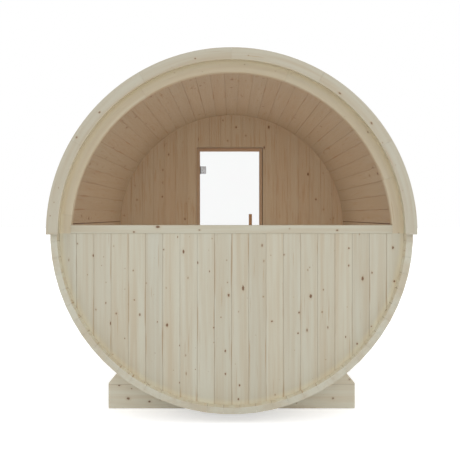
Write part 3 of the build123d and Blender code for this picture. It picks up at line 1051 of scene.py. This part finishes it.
# %% Brushed steel
drawn_out = 0.04
smudge_scale = 9.0
smudge_shade = 0.78
brushed, given, result = new_group("brushed_marks", ["Position", "Scale"], ["Marks", "Smudges"])
tree = brushed
x, y, z = split(tree, given["Position"])
drawn = join(tree, scaled(tree, x, drawn_out), y, scaled(tree, z, drawn_out))
put(tree, result["Marks"], cloud(tree, drawn, given["Scale"], 3.0, 0.6))
put(tree, result["Smudges"], cloud(tree, given["Position"], smudge_scale, 3.0, 0.6))


def steel(name, targets, colour, dull, scale):
    """Brushed steel, with smudges that dull it here and there."""
    tree, shader = new_finish(name, targets)
    marks = place_group(tree, brushed, {"Position": object_place(tree), "Scale": scale})
    darker = tuple(smudge_shade * part for part in colour[:3]) + (1,)
    rough = scaled(tree, marks["Marks"], 0.22, dull)
    looks = {
        "Base Color": blend_colours(tree, marks["Smudges"], colour, darker),
        "Roughness": scaled(tree, marks["Smudges"], 0.12, rough),
        "Normal": bump_normal(tree, marks["Marks"], 0.2, 0.0002),
        "Metallic": 1.0,
    }
    feed(tree, shader.inputs, looks)


steel("brushed_band_steel", hoops, (0.40, 0.40, 0.41, 1), 0.22, 900.0)
fittings = ["hinge_brackets", "door_hinge_plates", "door_handle_spacers"]
steel("satin_hinge_steel", fittings, (0.62, 0.62, 0.63, 1), 0.06, 1500.0)
heads = ["hoop_tension_bolts", "roof_nails", "hinge_bracket_screws", "hinge_plate_screws"]
steel("screw_steel", heads, (0.50, 0.50, 0.50, 1), 0.30, 2500.0)

# %% [markdown]
# The panes are clear toughened glass. Rays of light that only carry shade or soft light pass straight
# through, because a renderer would otherwise leave the cabin dark and grainy behind the glass.
# A faint film of dust keeps the sheet from being a flat nothing, and the low index keeps it clear.

# %% Clear glass
clean_sheet = (0.97, 0.97, 0.97, 1)
dusty_sheet = (0.97, 0.98, 0.975, 1)
edge_green = (0.36, 0.62, 0.52, 1)
tree, shader = new_finish("clear_pane_glass", ["rear_window_glass", "door_glass"])
coordinates = tree.nodes.new("ShaderNodeTexCoord").outputs
film = fade(tree, cloud(tree, coordinates["Object"], 3.0, 4.0, 0.6), 0.35, 0.75)
facing = calc(tree, "ABSOLUTE", split(tree, coordinates["Normal"])[1])
sheet = blend_colours(tree, film, clean_sheet, dusty_sheet)
cut_edge = fade(tree, facing, 0.95, 0.80)
glass_looks = {
    "Base Color": blend_colours(tree, cut_edge, sheet, edge_green),
    "Roughness": scaled(tree, film, 0.012),
    "Transmission Weight": 1.0,
    "IOR": 1.18,
}
feed(tree, shader.inputs, glass_looks)
passing = tree.nodes.new("ShaderNodeBsdfTransparent")
rays = tree.nodes.new("ShaderNodeLightPath").outputs
choice = tree.nodes.new("ShaderNodeMixShader")
put(tree, choice.inputs[0], calc(tree, "MAXIMUM", rays["Is Shadow Ray"], rays["Is Diffuse Ray"]))
put(tree, choice.inputs[1], shader.outputs["BSDF"])
put(tree, choice.inputs[2], passing.outputs["BSDF"])
put(tree, tree.nodes["Material Output"].inputs["Surface"], choice.outputs["Shader"])

# %% [markdown]
# The two strips round the doorway are soft and dull. The seal is dark rubber with a faint bloom, and
# the rope is flax, whose strands also show in the bump. The rope is painted far darker than flax: painted
# shade of the joint it fills. A noise between two colours serves both.

# %% Seal and rope


def strip_finish(name, target, dark, light, scale, fineness, rough_span, rough_base):
    """A noise between two colours; returns the node tree, the shader and the noise."""
    tree, shader = new_finish(name, [target])
    noise = cloud(tree, object_place(tree), scale, 3.0, fineness)
    put(tree, shader.inputs["Base Color"], blend_colours(tree, noise, dark, light))
    put(tree, shader.inputs["Roughness"], scaled(tree, noise, rough_span, rough_base))
    return tree, shader, noise


rubber_dark = (0.10, 0.085, 0.07, 1)
rubber_bloom = (0.16, 0.14, 0.12, 1)
strip_finish("seal_rubber", "door_seal", rubber_dark, rubber_bloom, 60.0, 0.6, 0.2, 0.5)
# Flax painted near black: partly the rope, partly painted shade in the joint round the frame.
flax_and_shade_dark = (0.07, 0.045, 0.025, 1)
flax_and_shade_light = (0.20, 0.14, 0.085, 1)
tree, shader, strands = strip_finish(
    "flax_rope", "door_frame_rope", flax_and_shade_dark, flax_and_shade_light, 420.0, 0.7, 0.15, 0.8
)
put(tree, shader.inputs["Normal"], bump_normal(tree, strands, 1.0, 0.001))

# %% [markdown]
# The sauna stands on a plain pale floor in front of white. The floor is lit like the sauna, so it keeps
# the shadow, and a little of its own light for the camera lifts the open floor to white.

# %% Floor
floor_reach = 60.0
floor_glow = 0.50
floor_grey = (0.86, 0.86, 0.86, 1)
floor_mesh = bmesh.new()
bmesh.ops.create_grid(floor_mesh, x_segments=1, y_segments=1, size=floor_reach)
pale_floor = mesh_object("pale_floor", floor_mesh)


def backdrop_rays(tree):
    """1 for rays that look at the backdrop, straight or by way of metal and glass."""
    rays = tree.nodes.new("ShaderNodeLightPath").outputs
    mirrored = calc(tree, "MAXIMUM", rays["Is Glossy Ray"], rays["Is Transmission Ray"])
    return calc(tree, "MAXIMUM", rays["Is Camera Ray"], mirrored)


tree, shader = new_finish("pale_floor_paint", ["pale_floor"])
floor_looks = {
    "Base Color": floor_grey,
    "Roughness": 0.9,
    "Specular IOR Level": 0.0,
    "Emission Color": (1, 1, 1, 1),
    "Emission Strength": scaled(tree, backdrop_rays(tree), floor_glow),
}
feed(tree, shader.inputs, floor_looks)
print("floor reaches", floor_reach, "m to each side")

# %% [markdown]
# The light is that of a bright, even studio: the same from all sides, with a large soft lamp in front
# that reaches into the recess round the window, and one behind. The world shows white to the camera.

# %% World
sky_strength = 0.97
world = bpy.data.worlds.new("studio_white")
scene.world = world
world.use_nodes = True
tree = world.node_tree
backdrop = tree.nodes["Background"].inputs
backdrop["Color"].default_value = (1, 1, 1, 1)
lift = scaled(tree, backdrop_rays(tree), 1.0 - sky_strength, sky_strength)
put(tree, backdrop["Strength"], lift)
print("sky strength", sky_strength)

# %% Lamps
lamp_white = (1.0, 0.995, 0.985)
barrel_middle = Vector((0, 0, axis_height))


def hang_lamp(name, light, place):
    """Hangs a lamp that isn't seen itself."""
    lamp = bpy.data.objects.new(name, light)
    lamp.location = place
    lamp.visible_camera = lamp.visible_glossy = lamp.visible_transmission = False
    scene.collection.objects.link(lamp)
    print("lamp", name, light.energy, "W")
    return lamp


def soft_lamp(name, place, width, power):
    """A large square lamp at a place, turned to the middle of the barrel."""
    light = bpy.data.lights.new(name, "AREA")
    light.shape = "SQUARE"
    light.size = width
    light.energy = power
    light.color = lamp_white
    lamp = hang_lamp(name, light, place)
    lamp.rotation_euler = (barrel_middle - lamp.location).to_track_quat("-Z", "Y").to_euler()


soft_lamp("front_lamp", (0.6, -9.0, 2.4), 4.0, 90.0)
soft_lamp("back_lamp", (-3.0, 8.5, 4.5), 5.0, 70.0)

# %% [markdown]
# Inside, the wood sends the light to and fro until it is brown and even. A warm round lamp near the
# middle of the cabin, which isn't seen itself, helps that along.

# %% Cabin lamp
cabin_light = bpy.data.lights.new("cabin_lamp", "POINT")
cabin_light.energy = 13.4
cabin_light.color = (1.0, 0.825, 0.685)
cabin_light.shadow_soft_size = 0.35
cabin_light.use_nodes = True
tree = cabin_light.node_tree
falloff = tree.nodes.new("ShaderNodeLightFalloff")
falloff.inputs["Strength"].default_value = 1.0
put(tree, tree.nodes["Emission"].inputs["Strength"], falloff.outputs["Constant"])
hang_lamp("cabin_lamp", cabin_light, (0.18, -0.06, axis_height - 0.05))

# %% [markdown]
# The camera stands level in front of the window end, a little above the axis. It looks straight along
# the barrel, so the staves run to one point, and a small shift sets the picture's frame.

# %% Camera
camera_distance = 5.241
camera_height = 1.260
camera_data = bpy.data.cameras.new("camera")
camera_data.lens = 52.2
camera_data.sensor_width = 36.0
camera_data.shift_x = -0.0036
camera_data.shift_y = -0.0315
camera = bpy.data.objects.new("camera", camera_data)
camera.location = (0, -camera_distance, camera_height)
camera.rotation_euler = (math.radians(90), 0, 0)
scene.collection.objects.link(camera)
scene.camera = camera
scene.view_settings.view_transform = "Standard"
print("camera at", tuple(round(part, 3) for part in camera.location))
